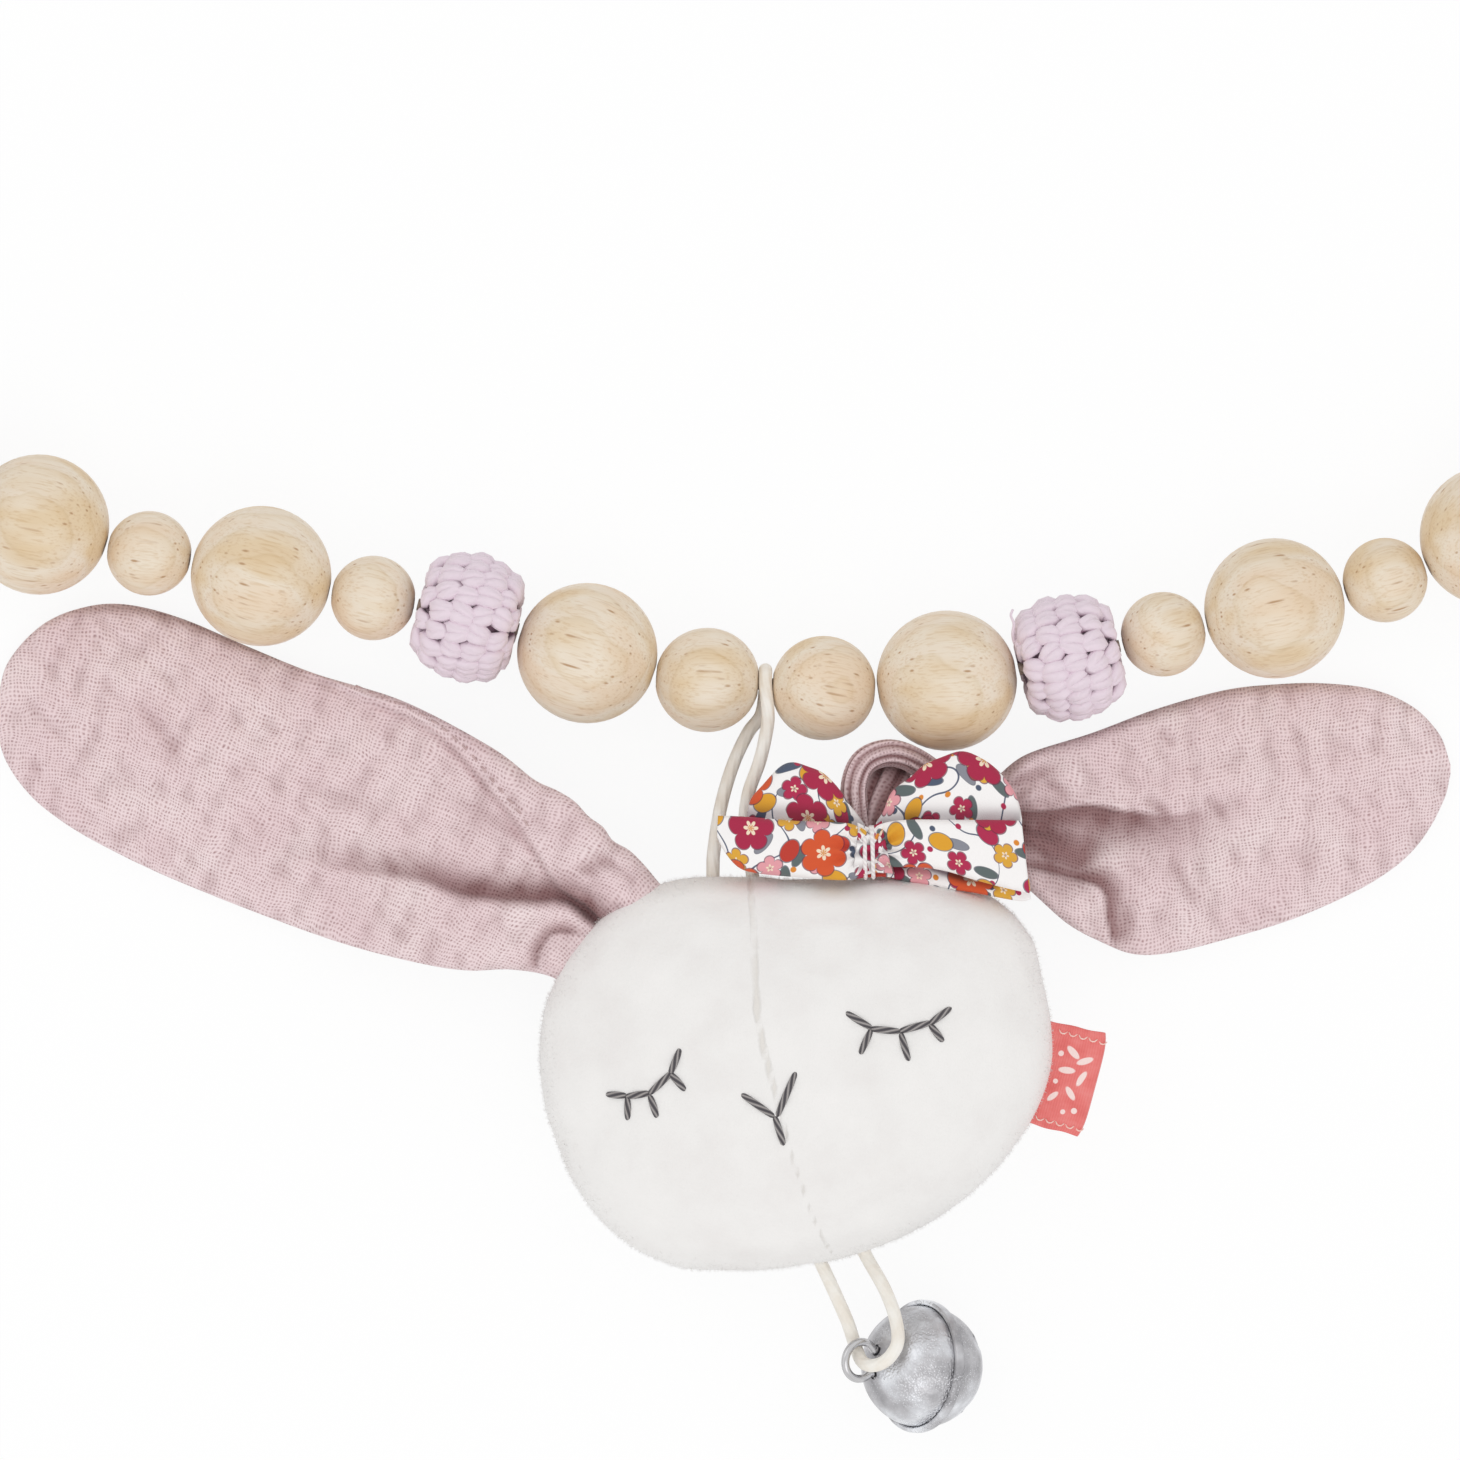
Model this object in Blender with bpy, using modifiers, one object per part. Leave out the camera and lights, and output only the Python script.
"""Pram chain toy, laid flat on a table as it is seen from straight above.

A cord carries eight beads on each side of its middle. A doubled cord hangs from the
middle and holds a stuffed rabbit head with two cloth ears and a bow, and a second
doubled cord below the head holds a jingle bell. Each end of the chain has a clip.
+X runs to the right along the chain, +Y from the bell to the chain, +Z up.
"""

import math

import bmesh
import bpy
from mathutils import Matrix, Vector

# Driving dimensions, in millimetres
MM = 0.001
LARGE_D = 24.2
MEDIUM_D = 18.0
SMALL_D = 14.6
CROCHET_D = 22.2
CROCHET_LENGTH = 18.2
GREY_D = 20.0
GREY_LENGTH = 17.6
YARN_WALL = 2.2
BORE_R = 1.6
CORD_R = 1.1
PENDANT_CORD_R = 1.0
GAP = 0.3
CORE_GAP = 0.8
MIDDLE_GAP = 2.1
AXIS_Z = LARGE_D / 2
MIDDLE_TILT_DEG = 4.0
# The photograph's middle gap, and its scale
MIDDLE_PX = (765.5, 684.0)
PX_PER_MM = 5.8
# Where the middle gap lies from the origin, which is under the middle of the whole toy
MIDDLE_X = 1.6
MIDDLE_Y = 28.6

# Beads after the medium one, from the middle outwards: kind, and how steeply the
# cord climbs through it in degrees
LEFT_BEADS = (
    ("large", 19), ("crochet", 14), ("small", 8), ("large", 13),
    ("small", 9), ("large", 18), ("grey", 27),
)
RIGHT_BEADS = (
    ("large", 9), ("crochet", 13), ("small", 15), ("large", 12),
    ("small", 18), ("large", 26), ("grey", 32),
)
HALF_LENGTH = {
    "large": LARGE_D / 2, "medium": MEDIUM_D / 2, "small": SMALL_D / 2,
    "crochet": CROCHET_LENGTH / 2, "grey": GREY_LENGTH / 2,
}
RADIUS = {
    "large": LARGE_D / 2, "medium": MEDIUM_D / 2, "small": SMALL_D / 2,
    "crochet": CROCHET_D / 2, "grey": GREY_D / 2,
}

# Head: middle, radii of its outline every 18 degrees from +X, and heights
HEAD_PX = (800, 1072)
HEAD_RADII = (
    43.9, 44.7, 44.6, 38.8, 34.9, 33.9, 35.7, 40.6, 43.6, 45.4,
    45.1, 43.9, 43.2, 40.9, 36.7, 34.0, 33.2, 34.2, 36.8, 40.2,
)
HEAD_SEAM_Z = 17.0
HEAD_RISE = 22.0
HEAD_DROP = 17.5
SEAM_DENT = 0.7
SEAM_PX = ((750, 880), (754, 940), (756, 1000), (772, 1077), (793, 1156), (816, 1220), (838, 1262))

# Ears: edges from the root to the tip
LEFT_EAR_TOP_PX = (
    (676, 902), (648, 870), (616, 843), (558, 792), (491, 746), (402, 702), (312, 671),
    (245, 646), (179, 620), (125, 606), (82, 607), (38, 624), (3, 662), (-8, 705),
)
LEFT_EAR_LOW_PX = (
    (584, 1004), (556, 978), (513, 969), (469, 970), (424, 964), (348, 946), (268, 919),
    (179, 884), (120, 857), (67, 828), (27, 797), (2, 763), (-7, 734), (-8, 715),
)
RIGHT_EAR_TOP_PX = (
    (998, 776), (1028, 754), (1093, 733), (1158, 709), (1227, 690), (1280, 684), (1327, 683),
    (1376, 689), (1416, 706), (1444, 734), (1455, 764),
)
RIGHT_EAR_LOW_PX = (
    (998, 868), (1028, 889), (1068, 924), (1103, 943), (1135, 955), (1172, 954), (1227, 941),
    (1302, 918), (1376, 883), (1421, 847), (1448, 802), (1455, 776),
)
EAR_HINGE_RISE = 6
EAR_FLOOR_GAP = 0.4

# Bow: edges from its left tip to its right tip
BOW_TOP_PX = (
    (719, 822), (735, 812), (748, 793), (770, 772), (793, 764), (820, 777), (842, 804), (857, 833),
    (869, 834), (882, 833), (894, 806), (914, 782), (945, 767), (972, 764), (997, 776), (1014, 802),
    (1026, 845),
)
BOW_LOW_PX = (
    (719, 836), (727, 852), (745, 868), (768, 874), (793, 877), (822, 879), (842, 875), (857, 858),
    (869, 857), (882, 858), (896, 873), (918, 884), (945, 890), (972, 895), (997, 899), (1014, 898),
    (1026, 880),
)
WING_STATIONS = 12
NECK_PX = 869.5
NECK_HALF_PX = 11.5
BOW_Z = 24.0
BOW_CREASE_PX = 820
NECK_R = 2.2
THREAD_R = 0.4
THREAD_TURNS = 3

# Label
LABEL_LENGTH = 18.0
LABEL_THICKNESS = 2.0
LABEL_PLY = 0.45

# Bell
BELL_R = 10.5
BELL_WALL = 0.5
BELL_PX = (922, 1367)
BELL_Z = 10.6
BELL_TURN_DEG = -8.4
BELL_TILT_DEG = 36.0
SLOT_REACH = 7.8
SLOT_WIDTH = 1.5
SLOT_END_R = 1.4
EYE_REACH = 13.4
EYE_R = 3.2
EYE_WIRE_R = 0.7
CLAPPER_R = 3.0

# Clips
DISC_R = 15.0
DISC_H = 8.0
DISC_EDGE = 1.6
DISC_BORE_R = 2.0
DISC_X = 20.5
PLATE_H = 1.0
PLATE_HALF_WIDTH = 7.0
LUG_Y = 6.2
LEVER_WIDTH = 10.6
CLIP_PIN_R = 1.0
CLIP_PIN_LENGTH = 15.0
CLIP_PIN_X = 9.0
CLIP_PIN_Z = 4.0
LOOP_LENGTH = 9.0


# Materials
def material(name, rgb, roughness, metallic=0.0):
    made = bpy.data.materials.new(name)
    made.use_nodes = True
    shader = made.node_tree.nodes["Principled BSDF"]
    shader.inputs["Base Color"].default_value = (*[(c / 255) ** 2.2 for c in rgb], 1)
    shader.inputs["Roughness"].default_value = roughness
    shader.inputs["Metallic"].default_value = metallic
    made.diffuse_color = (*[(c / 255) ** 2.2 for c in rgb], 1)
    return made


def make_materials():
    return {
        "beech": material("beech", (230, 216, 195), 0.6),
        "lilac_yarn": material("lilac_yarn", (232, 217, 226), 0.95),
        "grey_yarn": material("grey_yarn", (208, 198, 190), 0.95),
        "taupe_cord": material("taupe_cord", (176, 158, 146), 0.85),
        "cream_cord": material("cream_cord", (234, 227, 217), 0.8),
        "plush": material("plush", (239, 238, 237), 0.95),
        "gauze": material("gauze", (222, 200, 201), 0.95),
        "print_cotton": material("print_cotton", (226, 196, 196), 0.85),
        "thread": material("thread", (245, 240, 240), 0.8),
        "ribbon": material("ribbon", (235, 124, 121), 0.7),
        "bell_steel": material("bell_steel", (198, 198, 200), 0.35, 1.0),
        "clip_steel": material("clip_steel", (190, 190, 192), 0.3, 1.0),
    }


# Placing
def plan(px, z):
    """A point of the photograph at a height, in metres."""
    x = (px[0] - MIDDLE_PX[0]) / PX_PER_MM + MIDDLE_X
    y = (MIDDLE_PX[1] - px[1]) / PX_PER_MM + MIDDLE_Y
    return Vector((x, y, z)) * MM


def facing(direction, up=Vector((0, 0, 1))):
    """A turn that takes local +Z to the direction and keeps local +Y near up."""
    z = direction.normalized()
    x = up.cross(z).normalized()
    return Matrix((x, z.cross(x), z)).transposed().to_4x4()


def keep_place(child, parent):
    """Parents the child and leaves it where it is."""
    child.parent = parent
    child.matrix_parent_inverse = parent.matrix_basis.inverted()
    if parent.parent:
        bpy.context.view_layer.update()
        child.matrix_parent_inverse = parent.matrix_world.inverted()


def arc_point(radius, degrees):
    angle = math.radians(degrees)
    return radius * math.cos(angle), radius * math.sin(angle)


# Making solids
def add_object(name, mesh, surface, place, collection="Pram chain toy"):
    made = bpy.data.objects.new(name, mesh)
    bpy.data.collections[collection].objects.link(made)
    if surface:
        mesh.materials.append(surface)
    made.matrix_world = place
    return made


def turned(name, profile, steps, surface, place, to_axis=False):
    """A profile of (radius, height) in millimetres, turned about local Z. It closes on itself,
    or at both ends on the axis."""
    mesh = bpy.data.meshes.new(name)
    points = [(r * MM, 0, z * MM) for r, z in profile]
    edges = [(i, (i + 1) % len(points)) for i in range(len(points) - to_axis)]
    mesh.from_pydata(points, edges, [])
    made = add_object(name, mesh, surface, place)
    screw = made.modifiers.new("turn", "SCREW")
    screw.steps = screw.render_steps = steps
    screw.use_merge_vertices = True
    screw.merge_threshold = 0.00001
    screw.use_smooth_shade = True
    return made


def smooth_route(points, count):
    """Points at even steps along a smooth curve through the given ones."""
    points = [Vector(p) for p in points]
    padded = [2 * points[0] - points[1], *points, 2 * points[-1] - points[-2]]
    fine = []
    for i in range(len(points) - 1):
        a, b, c, d = padded[i : i + 4]
        for step in range(16):
            t = step / 16
            fine.append(0.5 * (2 * b + (c - a) * t + (2 * a - 5 * b + 4 * c - d) * t**2
                               + (3 * b - a - 3 * c + d) * t**3))
    fine.append(points[-1])
    lengths = [0.0]
    for a, b in zip(fine, fine[1:]):
        lengths.append(lengths[-1] + (b - a).length)
    made, k = [], 0
    for n in range(count):
        want = lengths[-1] * n / (count - 1)
        while k < len(fine) - 2 and lengths[k + 1] < want:
            k += 1
        share = (want - lengths[k]) / (lengths[k + 1] - lengths[k])
        made.append(fine[k].lerp(fine[k + 1], min(share, 1.0)))
    return made


def tube(name, route, radius, surface, closed=False):
    """A cord or a wire along world points in metres."""
    curve = bpy.data.curves.new(name, "CURVE")
    curve.dimensions = "3D"
    curve.bevel_depth = radius * MM
    curve.bevel_resolution = 2
    curve.use_fill_caps = not closed
    spline = curve.splines.new("POLY")
    spline.points.add(len(route) - 1)
    start = route[0]
    for point, where in zip(spline.points, route):
        point.co = (*(where - start), 1)
    spline.use_cyclic_u = closed
    return add_object(name, curve, surface, Matrix.Translation(start))


def outline_solid(name, outlines, thickness, surface, place):
    """A flat outline in millimetres, with any holes, given a thickness along local Z."""
    curve = bpy.data.curves.new(name, "CURVE")
    curve.dimensions = "2D"
    curve.fill_mode = "BOTH"
    curve.extrude = thickness / 2 * MM
    for outline in outlines:
        spline = curve.splines.new("POLY")
        spline.points.add(len(outline) - 1)
        for point, (x, y) in zip(spline.points, outline):
            point.co = (x * MM, y * MM, 0, 1)
        spline.use_cyclic_u = True
    return add_object(name, curve, surface, place)


def loft(name, rings, surface, origin):
    """A closed skin over rings of world points in metres, with flat ends."""
    bm = bmesh.new()
    rows = [[bm.verts.new(p - origin) for p in ring] for ring in rings]
    count = len(rows[0])
    for near, far in zip(rows, rows[1:]):
        for i in range(count):
            bm.faces.new((near[i], near[(i + 1) % count], far[(i + 1) % count], far[i]))
    bm.faces.new(rows[0])
    bm.faces.new(rows[-1])
    bmesh.ops.recalc_face_normals(bm, faces=bm.faces)
    for face in bm.faces:
        face.smooth = len(face.verts) == 4
    mesh = bpy.data.meshes.new(name)
    bm.to_mesh(mesh)
    bm.free()
    return add_object(name, mesh, surface, Matrix.Translation(origin))


def cutter(name, mesh, place):
    made = add_object(name, mesh, None, place, "Cutters")
    made.hide_render = True
    made.display_type = "WIRE"
    return made


def cut(target, tool):
    change = target.modifiers.new("cut " + tool.name, "BOOLEAN")
    change.operation = "DIFFERENCE"
    change.object = tool


def join(target, tool):
    change = target.modifiers.new("join " + tool.name, "BOOLEAN")
    change.operation = "UNION"
    change.object = tool


def box_mesh(name, size):
    """A box about its own middle, in millimetres."""
    bm = bmesh.new()
    bmesh.ops.create_cube(bm, size=MM)
    bmesh.ops.scale(bm, vec=size, verts=bm.verts)
    mesh = bpy.data.meshes.new(name)
    bm.to_mesh(mesh)
    bm.free()
    return mesh


def cylinder_mesh(name, radius, length, sides):
    bm = bmesh.new()
    bmesh.ops.create_cone(bm, cap_ends=True, segments=sides, radius1=radius * MM,
                          radius2=radius * MM, depth=length * MM)
    mesh = bpy.data.meshes.new(name)
    bm.to_mesh(mesh)
    bm.free()
    return mesh


# Beads and cord
def round_profile(radius, half_length, bore, rows):
    """From the top of the bore over the outer side to its foot; the bore closes it."""
    first = math.asin(bore / radius)
    angles = [first + (math.pi - 2 * first) * i / rows for i in range(rows + 1)]
    return [(radius * math.sin(a), half_length * math.cos(a)) for a in angles]


def wooden_bead(name, kind, surface, place):
    radius = RADIUS[kind]
    rows, steps = {"large": (9, 20), "medium": (8, 18), "small": (7, 16)}[kind]
    return turned(name, round_profile(radius, radius, BORE_R, rows), steps, surface, place)


def crochet_cover(name, kind, surface, place):
    """A yarn cover as an even wall, open at both ends of the bore."""
    radius, half = RADIUS[kind], HALF_LENGTH[kind]
    outer = round_profile(radius, half, BORE_R, 8)
    inner = round_profile(radius - YARN_WALL, half - YARN_WALL, BORE_R, 5)
    return turned(name, outer + inner[::-1], 18, surface, place)


def core_bead(name, kind, surface, place):
    radius = RADIUS[kind] - YARN_WALL - CORE_GAP
    half = HALF_LENGTH[kind] - YARN_WALL - CORE_GAP
    return turned(name, round_profile(radius, half, BORE_R, 5), 14, surface, place)


def cord_link(name, start, end, surface):
    """The straight stretch of the cord between two bending points."""
    along = (end - start).normalized() * GAP * MM
    return tube(name, [start + along, end - along], CORD_R, surface)


def chain_side(side, sign, beads, start, parent, looks):
    """One half of the chain from the medium bead outwards. It gives the last bending point,
    how steeply the cord climbs there, and the last link."""
    here = start
    for number, (kind, degrees) in enumerate(beads, 2):
        turn = math.radians(degrees)
        along = Vector((sign * math.cos(turn), math.sin(turn), 0))
        reach = (HALF_LENGTH[kind] + GAP / 2) * MM
        middle, end = here + along * reach, here + along * 2 * reach
        link = cord_link(f"cord_{side}_{number}", here, end, looks["taupe_cord"])
        keep_place(link, parent)
        place = Matrix.Translation(middle) @ facing(along)
        name = f"bead_{side}_{number}_{kind}"
        if kind in ("crochet", "grey"):
            yarn = looks["lilac_yarn" if kind == "crochet" else "grey_yarn"]
            bead = crochet_cover(name, kind, yarn, place)
            core = core_bead(f"core_{side}_{number}", kind, looks["beech"], place)
            keep_place(bead, link)
            keep_place(core, bead)
        else:
            bead = wooden_bead(name, kind, looks["beech"], place)
            keep_place(bead, link)
        here, parent = end, link
    return here, beads[-1][1], parent


def build_chain(looks):
    """The middle stretch with both medium beads, then the two sides."""
    middle = Vector((MIDDLE_X, MIDDLE_Y, AXIS_Z)) * MM
    turn = math.radians(MIDDLE_TILT_DEG)
    along = Vector((math.cos(turn), -math.sin(turn), 0))
    reach = MIDDLE_GAP / 2 + MEDIUM_D / 2
    end = (reach + MEDIUM_D / 2 + GAP / 2) * MM
    root = cord_link("cord_centre", middle - along * end, middle + along * end, looks["taupe_cord"])
    for side, sign in (("left", -1), ("right", 1)):
        place = Matrix.Translation(middle + along * sign * reach * MM) @ facing(along)
        bead = wooden_bead(f"bead_{side}_1_medium", "medium", looks["beech"], place)
        keep_place(bead, root)
    for side, sign, beads in (("left", -1, LEFT_BEADS), ("right", 1, RIGHT_BEADS)):
        start = middle + along * sign * end
        last = chain_side(side, sign, beads, start, root, looks)
        build_clip(side, sign, *last, looks)
    return middle, root


# Clips
def build_clip(side, sign, start, climb, parent, looks):
    """A cord loop, and a clip that lies on its wooden disc with the lever on top."""
    turn = math.radians(climb)
    along = Vector((sign * math.cos(turn), math.sin(turn), 0))
    across = Vector((0, 0, 1)).cross(along)
    plate_z = (DISC_H + GAP + PLATE_H / 2) * MM
    bar = start + along * LOOP_LENGTH * MM
    bar.z = plate_z
    # The loop leaves the last bead, goes under and over the plate's bar, and comes back
    ring = CORD_R + PLATE_H / 2 + 1.05
    shape = ((0.4, 0, 0), (2.2, 0.1, -0.9), (LOOP_LENGTH - 3.4, 0, -4.6))
    route = [start + (along * a + across * b + Vector((0, 0, c))) * MM for a, b, c in shape]
    for step in range(9):
        angle = math.radians(-120 + 240 * step / 8)
        route.append(bar + (along * ring * 1.2 * math.cos(angle)
                            + Vector((0, 0, ring * math.sin(angle)))) * MM)
    for a, b, c in ((LOOP_LENGTH - 3.6, 0.6, -0.9), (3.6, 1.9, 1.0), (1.6, 2.6, 1.4)):
        route.append(start + (along * a + across * b + Vector((0, 0, c))) * MM)
    loop = tube(f"cord_loop_{side}", smooth_route(route, 21), CORD_R, looks["taupe_cord"])
    keep_place(loop, parent)

    frame = Matrix.Translation(bar) @ Matrix((along, across, Vector((0, 0, 1)))).transposed().to_4x4()

    def at(x, y, z):
        return frame @ Matrix.Translation(Vector((x, y, z)) * MM)

    # Steel plate with a slot behind its bar and two lugs for the pin
    plate = outline_solid(
        f"clip_{side}_body",
        [[(-1.1, -PLATE_HALF_WIDTH), (28, -PLATE_HALF_WIDTH), (30, -5), (30, 5),
          (28, PLATE_HALF_WIDTH), (-1.1, PLATE_HALF_WIDTH)],
         [(1.1, -4.6), (1.1, 4.6), (5.2, 4.6), (5.2, -4.6)]],
        PLATE_H, looks["clip_steel"], at(0, 0, 0))
    bpy.context.view_layer.update()
    plate = as_mesh(plate)
    for n, y in enumerate((-LUG_Y, LUG_Y)):
        lug = cutter(f"lug_{side}_{n}", box_mesh("lug", (5, 1.2, 6)), at(CLIP_PIN_X, y, CLIP_PIN_Z - 0.8))
        join(plate, lug)
    hole = cylinder_mesh("pin hole", CLIP_PIN_R + GAP, 20, 16)
    pin_place = at(CLIP_PIN_X, 0, CLIP_PIN_Z) @ Matrix.Rotation(math.radians(90), 4, "X")
    cut(plate, cutter(f"pin_hole_{side}", hole, pin_place))
    keep_place(plate, loop)

    disc_place = at(DISC_X, 0, -(PLATE_H / 2 + GAP + DISC_H / 2))
    flat_r, flat_z = DISC_R - DISC_EDGE, DISC_H / 2 - DISC_EDGE
    rim = [arc_point(DISC_EDGE, degrees) for degrees in (90, 60, 30, 0)]
    profile = [(DISC_BORE_R, DISC_H / 2)] + [(flat_r + x, flat_z + y) for x, y in rim]
    profile += [(r, -z) for r, z in profile[::-1]]
    disc = turned(f"clip_{side}_disc", profile, 24, looks["beech"], disc_place)
    keep_place(disc, plate)

    pin_mesh = cylinder_mesh("pin", CLIP_PIN_R, CLIP_PIN_LENGTH, 12)
    pin = add_object(f"clip_{side}_pin", pin_mesh, looks["clip_steel"], pin_place)
    keep_place(pin, plate)

    # The lever's side profile, about the pin: a cam, a jaw that comes down on the plate, and a tail
    cam = [arc_point(2.5, degrees) for degrees in range(75, 286, 30)]
    arm = [(4.5, -1.9), (12, -3.0), (13.2, -3.1), (13.2, -1.6), (12, -1.3), (6, 0.9), (3, 2.4)]
    eye = [arc_point(CLIP_PIN_R + GAP, degrees) for degrees in range(0, 360, 30)]
    lever = outline_solid(f"clip_{side}_lever", [cam + arm, eye], LEVER_WIDTH, looks["clip_steel"],
                          pin_place)
    keep_place(lever, plate)


def as_mesh(made):
    """A curve object made into a mesh object of the same name, so that it can be cut."""
    graph = bpy.context.evaluated_depsgraph_get()
    mesh = bpy.data.meshes.new_from_object(made.evaluated_get(graph))
    bm = bmesh.new()
    bm.from_mesh(mesh)
    bmesh.ops.remove_doubles(bm, verts=bm.verts, dist=0.000001)
    bmesh.ops.recalc_face_normals(bm, faces=bm.faces)
    bm.to_mesh(mesh)
    bm.free()
    name, place = made.name, made.matrix_world.copy()
    collection = made.users_collection[0].name
    bpy.data.objects.remove(made)
    return add_object(name, mesh, None, place, collection)


# Head
def outline_radius(angle):
    """The head's outline, smooth through its radii, in millimetres."""
    count = len(HEAD_RADII)
    where = (angle / (2 * math.pi) * count) % count
    k, t = int(where), where - int(where)
    a, b, c, d = (HEAD_RADII[(k + n) % count] for n in (-1, 0, 1, 2))
    return 0.5 * (2 * b + (c - a) * t + (2 * a - 5 * b + 4 * c - d) * t**2 + (3 * b - a - 3 * c + d) * t**3)


def seam_dent(x, y):
    """How deep the middle seam draws the plush in at a plan point, in millimetres."""
    points = [plan(px, 0) / MM for px in SEAM_PX]
    nearest = 1e9
    for a, b in zip(points, points[1:]):
        run = b - a
        share = max(0, min(1, (Vector((x, y, 0)) - a).dot(run) / run.length_squared))
        nearest = min(nearest, (Vector((x, y, 0)) - a - run * share).length)
    return SEAM_DENT * math.exp(-((nearest / 2.2) ** 2))


def head_mesh(name, grow, around, rows):
    """A stuffed cushion form: a sphere drawn out to the outline, fuller than an ellipsoid."""
    centre = plan(HEAD_PX, HEAD_SEAM_Z) / MM
    bm = bmesh.new()
    bmesh.ops.create_uvsphere(bm, u_segments=around, v_segments=rows, radius=1.0)
    for vert in bm.verts:
        x, y, z = vert.co
        angle, level = math.atan2(y, x), math.hypot(x, y)
        reach = (outline_radius(angle) + grow) * level**0.86
        px, py = centre.x + reach * math.cos(angle), centre.y + reach * math.sin(angle)
        height = (HEAD_RISE if z > 0 else HEAD_DROP) + grow
        pz = centre.z + math.copysign(abs(z) ** 0.92 * height, z)
        if z > 0:
            pz -= seam_dent(px, py) * min(1, z * 3)
        vert.co = Vector((px - centre.x, py - centre.y, max(pz, -grow) - centre.z)) * MM
    mesh = bpy.data.meshes.new(name)
    bm.to_mesh(mesh)
    bm.free()
    mesh.shade_smooth()
    return mesh


def build_head(root, looks):
    place = Matrix.Translation(plan(HEAD_PX, HEAD_SEAM_Z))
    head = add_object("head", head_mesh("head", 0, 38, 15), looks["plush"], place)
    keep_place(head, root)
    clear = cutter("head_clearance", head_mesh("head_clearance", GAP + 0.1, 38, 15), place)
    return head, clear


# Ears
def sheet_rings(top, low, stations, sides, middle_z, half_thickness):
    """Sections across a soft strip between two edges. Heights come from two functions of
    the share along it and the place across it, from -1 at the low edge to 1 at the top."""
    tops, lows = smooth_route(top, 121), smooth_route(low, 121)
    rings = []
    for n in range(stations + 1):
        u = n / stations
        at = round((1 - (1 - u) ** 1.5) * 120)
        a, b = lows[at], tops[at]
        ring = []
        for k in range(sides):
            angle = 2 * math.pi * k / sides
            across = math.cos(angle)
            rise = math.sin(angle)
            bulge = math.copysign(abs(rise) ** 0.8, rise)
            point = a.lerp(b, (across + 1) / 2)
            share = at / 120
            point.z = (middle_z(share, across) + bulge * half_thickness(share, across)) * MM
            ring.append(point)
        rings.append(ring)
    return rings


def fade(x, low, high):
    """0 below low, 1 above high, smooth between."""
    t = max(0.0, min(1.0, (x - low) / (high - low)))
    return t * t * (3 - 2 * t)


def left_ear_thickness(u, v):
    return 0.9 + 1.3 * fade(u, 1.0, 0.75) + 0.8 * fade(u, 0.4, 0.1)


def left_ear_middle(u, v):
    """Falls from the head's seam to the table; a rolled band on top and a valley under it."""
    near = fade(u, 0.62, 0.12)
    rest = left_ear_thickness(u, v) + EAR_FLOOR_GAP
    fold = 2.6 * math.exp(-(((v - 0.55) / 0.3) ** 2)) - 2.2 * math.exp(-(((v + 0.25) / 0.25) ** 2))
    fold += 1.2 * math.exp(-(((v + 0.75) / 0.25) ** 2))
    return rest + (HEAD_SEAM_Z - rest - 1.0) * near ** 1.6 + fold * near


def right_ear_thickness(u, v):
    return 0.9 + 1.3 * fade(u, 1.0, 0.8) + 0.6 * fade(u, 0.35, 0.05)


def right_ear_middle(u, v):
    near = fade(u, 0.55, 0.05)
    rest = right_ear_thickness(u, v) + EAR_FLOOR_GAP
    fold = 1.3 * math.sin(5.5 * v + 0.6) * (1 - abs(v)) ** 0.5
    return rest + (7.4 - rest) * near + fold * near + 0.8 * near


def ear_px(points):
    return [plan(px, 0) for px in points]


def build_ears(head, clear, looks):
    root = (plan(LEFT_EAR_TOP_PX[1], 0) + plan(LEFT_EAR_LOW_PX[1], 0)) / 2
    root.z = (HEAD_SEAM_Z + EAR_HINGE_RISE) * MM
    rings = sheet_rings(ear_px(LEFT_EAR_TOP_PX), ear_px(LEFT_EAR_LOW_PX), 18, 22,
                        left_ear_middle, left_ear_thickness)
    left = loft("ear_left", rings, looks["gauze"], root)
    cut(left, clear)
    keep_place(left, head)

    root = (plan(RIGHT_EAR_TOP_PX[1], 0) + plan(RIGHT_EAR_LOW_PX[1], 0)) / 2
    root.z = 11 * MM
    rings = sheet_rings(ear_px(RIGHT_EAR_TOP_PX), ear_px(RIGHT_EAR_LOW_PX), 16, 22,
                        right_ear_middle, right_ear_thickness)
    right = loft("ear_right", rings, looks["gauze"], root)
    cut(right, clear)
    keep_place(right, head)
    build_ear_base(head, clear, looks)


def build_ear_base(head, clear, looks):
    """The right ear's gathered root: a flat roll from the head's top, up and over to the right."""
    spine = [plan(px, z) for px, z in (
        ((866, 890), 16), ((861, 846), 16.8), ((861, 808), 16.5), ((877, 781), 15), ((908, 784), 13),
        ((945, 803), 11), ((981, 820), 9.5))]
    spine = smooth_route(spine, 15)
    rings = []
    for n, point in enumerate(spine):
        ahead = (spine[min(n + 1, 14)] - spine[max(n - 1, 0)]).normalized()
        across = Vector((0, 0, 1)).cross(ahead).normalized()
        up = ahead.cross(across)
        wide, thick = 4.4, 2.7 - 0.5 * fade(n, 9, 14)
        ring = []
        for k in range(18):
            angle = 2 * math.pi * k / 18
            pleat = 1 + 0.10 * math.cos(6 * angle)
            around = across * wide * math.cos(angle) + up * thick * math.sin(angle)
            ring.append(point + around * pleat * MM)
        rings.append(ring)
    base = loft("ear_right_base", rings, looks["gauze"], spine[0])
    cut(base, clear)
    keep_place(base, head)


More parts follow.
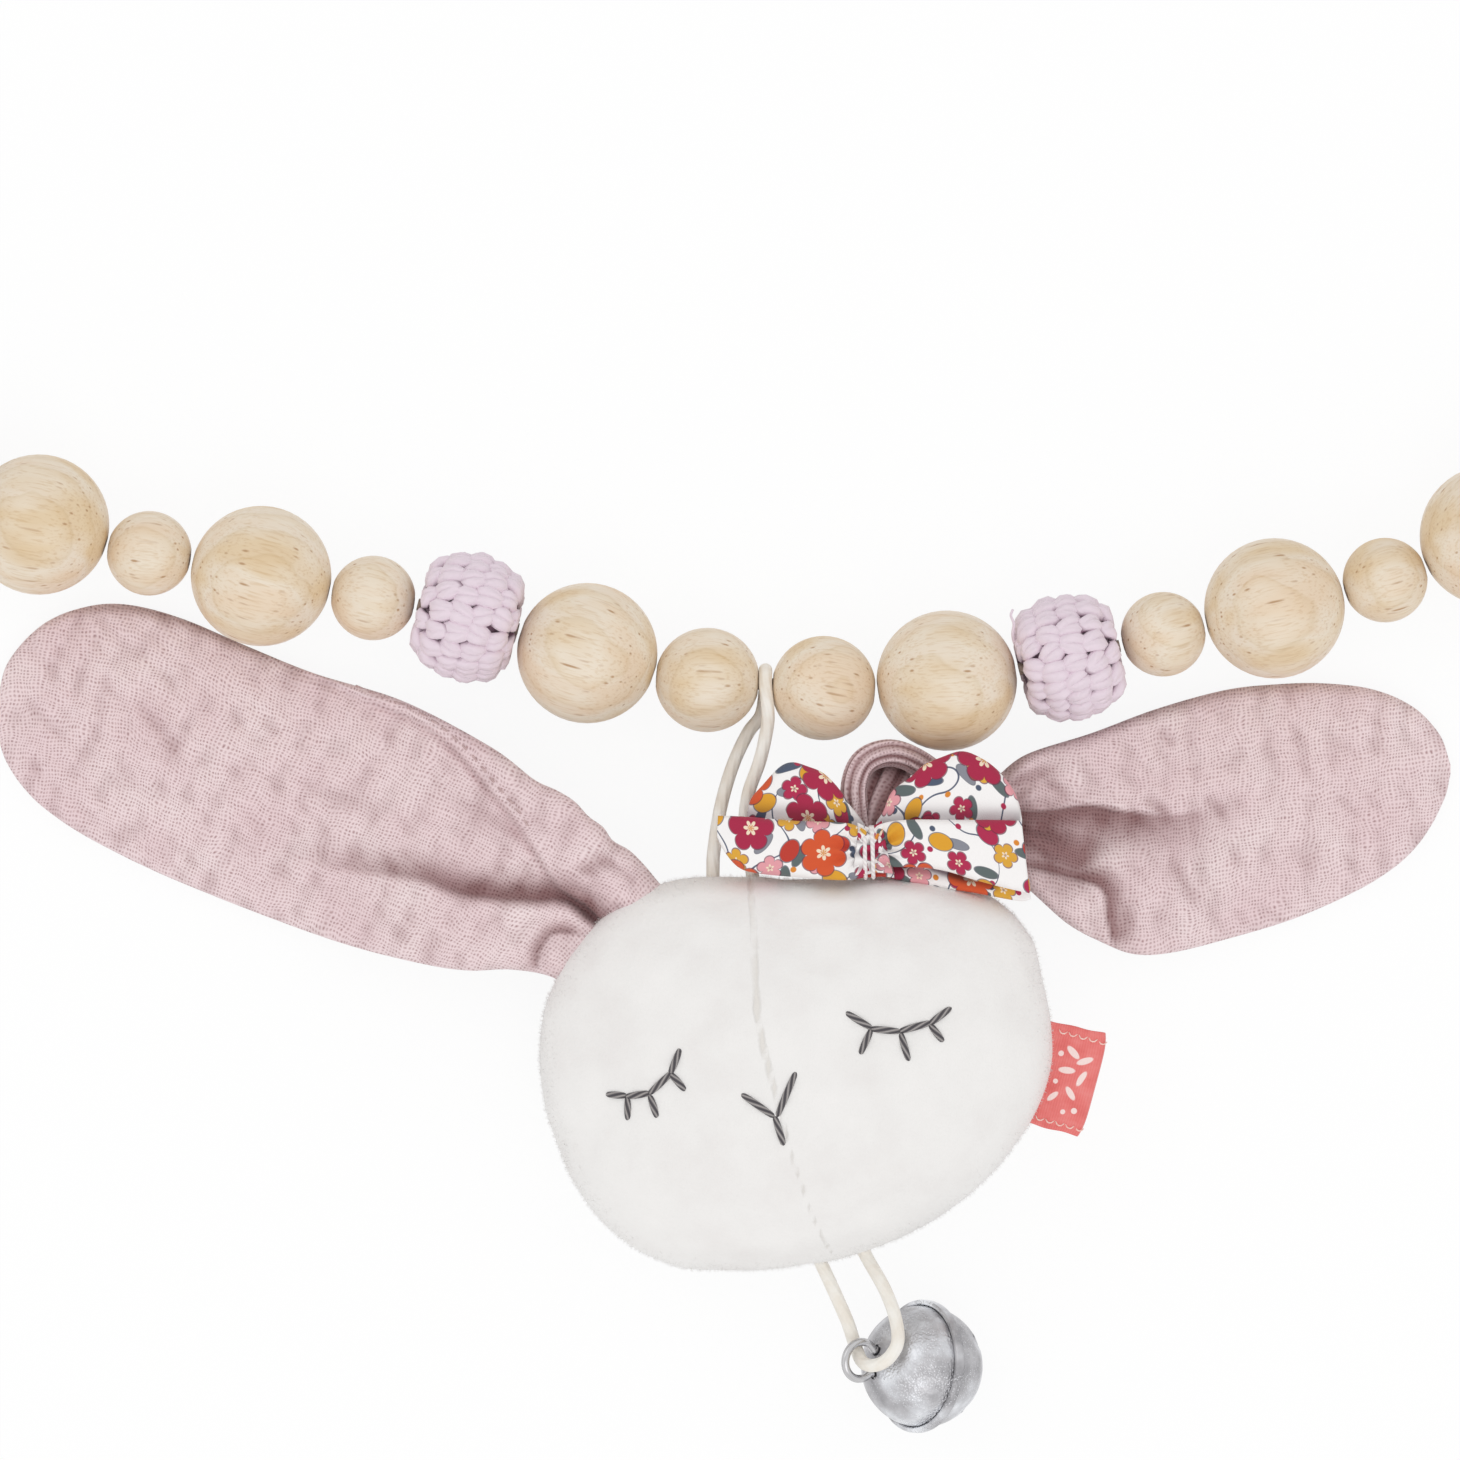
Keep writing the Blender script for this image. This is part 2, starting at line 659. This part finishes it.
# Bow
def bow_ring(a, b, wing):
    """A section across the bow: an upper lobe, a crease, and a lower band in front of it."""
    sides = 22
    open_wing = fade(wing, 0.06, 0.45)
    half = NECK_R * 0.92 + 2.4 * open_wing - 2.0 * fade(wing, 0.82, 1.0)
    crease = plan((0, BOW_CREASE_PX), 0).y
    ring = []
    for k in range(sides):
        angle = 2 * math.pi * k / sides
        point = a.lerp(b, (math.cos(angle) + 1) / 2)
        rise = math.copysign(abs(math.sin(angle)) ** 0.75, math.sin(angle))
        dip = 1.5 * math.exp(-(((point.y - crease) / MM / 0.9) ** 2)) * open_wing if rise > 0 else 0
        front = 0.9 * fade((crease - point.y) / MM, -0.3, 0.8) * open_wing if rise > 0 else 0
        point.z = (BOW_Z + rise * half - dip + front) * MM
        ring.append(point)
    return ring


def build_bow(head, clear, looks):
    tops = smooth_route([plan(px, 0) for px in BOW_TOP_PX], 240)
    lows = smooth_route([plan(px, 0) for px in BOW_LOW_PX], 240)
    first, last = BOW_TOP_PX[0][0], BOW_TOP_PX[-1][0]
    near, far = NECK_PX - NECK_HALF_PX, NECK_PX + NECK_HALF_PX
    stations = [first + (near - first) * n / WING_STATIONS for n in range(WING_STATIONS + 1)]
    stations += [far + (last - far) * n / WING_STATIONS for n in range(WING_STATIONS + 1)]
    rings = []
    for px in stations:
        x = plan((px, 0), 0).x
        low = min(lows, key=lambda p: abs(p.x - x))
        top = min(tops, key=lambda p: abs(p.x - x))
        span = (NECK_PX - first) if px < NECK_PX else (last - NECK_PX)
        rings.append(bow_ring(Vector((x, low.y, 0)), Vector((x, top.y, 0)), abs(px - NECK_PX) / span))
    middle = plan((NECK_PX, 845.5), BOW_Z)
    bow = loft("bow", rings, looks["print_cotton"], middle)
    cut(bow, clear)
    keep_place(bow, head)
    # The thread's turns round the neck, climbing along X
    pitch = 2 * THREAD_R + 0.43
    ring_y, ring_z = NECK_R + 0.75, NECK_R + 0.65
    count = THREAD_TURNS * 12
    route = []
    for n in range(count + 1):
        angle = 2 * math.pi * n / 12
        x = pitch * (n / 12 - THREAD_TURNS / 2)
        route.append(middle + Vector((x, ring_y * math.cos(angle), ring_z * math.sin(angle))) * MM)
    gap = min((p - q).length for i, p in enumerate(route) for q in route[i + 9 :]) / MM - 2 * THREAD_R
    print(f"bow thread: least gap between turns {gap:.2f} mm")
    thread = tube("bow_thread", route, THREAD_R, looks["thread"])
    thread.data.bevel_resolution = 1
    keep_place(thread, head)


# Label
def build_label(head, clear, looks):
    """A ribbon folded once: two plies and the fold, open at its ends."""
    inner = (plan((1058, 1022), HEAD_SEAM_Z) + plan((1040, 1125), HEAD_SEAM_Z)) / 2
    outer = (plan((1106, 1041), HEAD_SEAM_Z) + plan((1078, 1145), HEAD_SEAM_Z)) / 2
    seam = (plan((1106, 1041), 0) - plan((1078, 1145), 0)).normalized()
    out = Vector((0, 0, 1)).cross(seam) * -1
    reach = (outer - inner).length / MM
    half, ply = LABEL_THICKNESS / 2, LABEL_PLY
    fold = [arc_point(half, degrees) for degrees in range(-90, 91, 30)]
    inside = [arc_point(half - ply, degrees) for degrees in range(90, -91, -30)]
    fold, inside = [[(reach - half + x, y) for x, y in arc] for arc in (fold, inside)]
    outline = [(-2, -half), *fold, (-2, half), (-2, half - ply), *inside, (-2, ply - half)]
    up = out.cross(seam)
    place = Matrix.Translation(inner) @ Matrix((out, -up, seam)).transposed().to_4x4()
    label = outline_solid("label", [outline], LABEL_LENGTH, looks["ribbon"], place)
    bpy.context.view_layer.update()
    label = as_mesh(label)
    cut(label, clear)
    keep_place(label, head)


# Cords of the pendant
def build_pendant_cord(middle, root, looks):
    """Up from the head's top, round the chain's cord in its middle gap, and down again."""
    ring = CORD_R + GAP + 0.05 + PENDANT_CORD_R
    route = [plan(px, z) for px, z in (
        ((713, 872), 16.5), ((714, 850), 15.5), ((721, 806), 13), ((733, 765), 10.5), ((748, 733), 9))]
    route.append(middle + Vector((-0.7, -5.2, -3.0)) * MM)
    for degrees in (-100, -60, -20, 20, 60, 100):
        angle = math.radians(degrees)
        route.append(middle + Vector((0, ring * math.cos(angle), ring * math.sin(angle))) * MM)
    route.append(middle + Vector((0.4, -4.6, 2.6)) * MM)
    route += [plan((767, 728), 14.4), plan((760, 760), 15), plan((748, 795), 16), plan((745, 830), 16.5),
              plan((752, 871), 16.5)]
    cord = tube("pendant_cord", smooth_route(route, 46), PENDANT_CORD_R, looks["cream_cord"])
    keep_place(cord, root)
    return cord


def build_bell_cord(head, looks):
    """Down from the head's lower seam, under the eye's wire, up through it, and back."""
    route = [plan(px, z) for px, z in (
        ((825, 1271), 15), ((837, 1297), 15.6), ((847, 1320), 16.1), ((853, 1338), 16.7),
        ((857, 1350), 17.6), ((862, 1359), 19.4), ((870, 1362), 21), ((881, 1359), 22.3),
        ((891, 1350), 22.6), ((897, 1336), 21.8), ((894, 1313), 19.6), ((884, 1287), 17.2),
        ((868, 1259), 15))]
    cord = tube("bell_cord", smooth_route(route, 32), PENDANT_CORD_R, looks["cream_cord"])
    keep_place(cord, head)
    return cord


# Bell
def half_shell(name, lip, surface, place, sign):
    """A thin half sphere from its pole to the rim, with a lip; sign -1 is the eye side."""
    rows, rim = 6, 1.5
    levels = [90 - (90 - rim) * i / rows for i in range(1, rows)]
    outer = [(0, BELL_R)] + [arc_point(BELL_R, degrees) for degrees in levels]
    inner = [arc_point(BELL_R - BELL_WALL, degrees) for degrees in [rim, *levels[::-1]]]
    profile = outer + lip + inner + [(0, BELL_R - BELL_WALL)]
    if sign < 0:
        profile = [(r, -z) for r, z in profile[::-1]]
    return turned(name, profile, 24, surface, place, to_axis=True)


def build_bell(cord, looks):
    """Local +Z runs from the eye to the slots."""
    turn, tilt = math.radians(BELL_TURN_DEG), math.radians(BELL_TILT_DEG)
    axis = Vector((math.cos(turn) * math.cos(tilt), math.sin(turn) * math.cos(tilt), -math.sin(tilt)))
    centre = plan(BELL_PX, BELL_Z)
    place = Matrix.Translation(centre) @ facing(axis)
    steel = looks["bell_steel"]
    cap_lip = [(BELL_R, 0.75), (BELL_R + 0.4, 0.75), (BELL_R + 0.4, 0.15), (BELL_R - BELL_WALL, 0.15)]
    cap = half_shell("bell_cap", cap_lip, steel, place, -1)
    bowl_lip = [(BELL_R, 0.45), (BELL_R + 1.0, 0.45), (BELL_R + 1.0, -1.25), (BELL_R + 0.3, -1.25),
                (BELL_R + 0.3, -0.95), (BELL_R + 0.7, -0.95), (BELL_R + 0.7, 0.15),
                (BELL_R - BELL_WALL, 0.15)]
    bowl = half_shell("bell_bowl", bowl_lip, steel, place, 1)
    for n, degrees in enumerate((45, 135)):
        spin = place @ Matrix.Rotation(math.radians(degrees), 4, "Z")
        middle = spin @ Matrix.Translation((0, 0, 8 * MM))
        arm = cutter(f"slot_{n}", box_mesh("slot", (2 * SLOT_REACH, SLOT_WIDTH, 12)), middle)
        cut(bowl, arm)
        for m, side in enumerate((-1, 1)):
            end = middle @ Matrix.Translation((side * SLOT_REACH * MM, 0, 0))
            cut(bowl, cutter(f"slot_end_{n}_{m}", cylinder_mesh("slot end", SLOT_END_R, 12, 14), end))
    keep_place(cap, cord)
    keep_place(bowl, cap)
    # Bent wire: a ring with two legs that end on the cap
    legs = []
    for degrees in range(-130, 131, 20):
        angle = math.radians(degrees)
        legs.append(Vector((EYE_R * math.sin(angle), 0, -EYE_REACH - EYE_R * math.cos(angle))))
    seat = -math.sqrt(BELL_R**2 - 1.5**2) - GAP
    legs = [Vector((legs[0].x, 0, seat)), *legs, Vector((legs[-1].x, 0, seat))]
    eye = tube("bell_eye", [place @ (leg * MM) for leg in legs], EYE_WIRE_R, steel)
    keep_place(eye, cap)
    bm = bmesh.new()
    bmesh.ops.create_uvsphere(bm, u_segments=14, v_segments=8, radius=CLAPPER_R * MM)
    mesh = bpy.data.meshes.new("clapper")
    bm.to_mesh(mesh)
    bm.free()
    mesh.shade_smooth()
    low = Vector((0, 0, -(BELL_R - BELL_WALL - CLAPPER_R - 0.5))) * MM
    ball = add_object("clapper", mesh, steel, Matrix.Translation(centre + low))
    keep_place(ball, cap)


def main():
    for old in list(bpy.data.objects):
        bpy.data.objects.remove(old)
    for name in ("Pram chain toy", "Cutters"):
        bpy.context.scene.collection.children.link(bpy.data.collections.new(name))
    looks = make_materials()
    middle, root = build_chain(looks)
    cord = build_pendant_cord(middle, root, looks)
    head, clear = build_head(cord, looks)
    build_ears(head, clear, looks)
    build_bow(head, clear, looks)
    build_label(head, clear, looks)
    build_bell(build_bell_cord(head, looks), looks)


main()
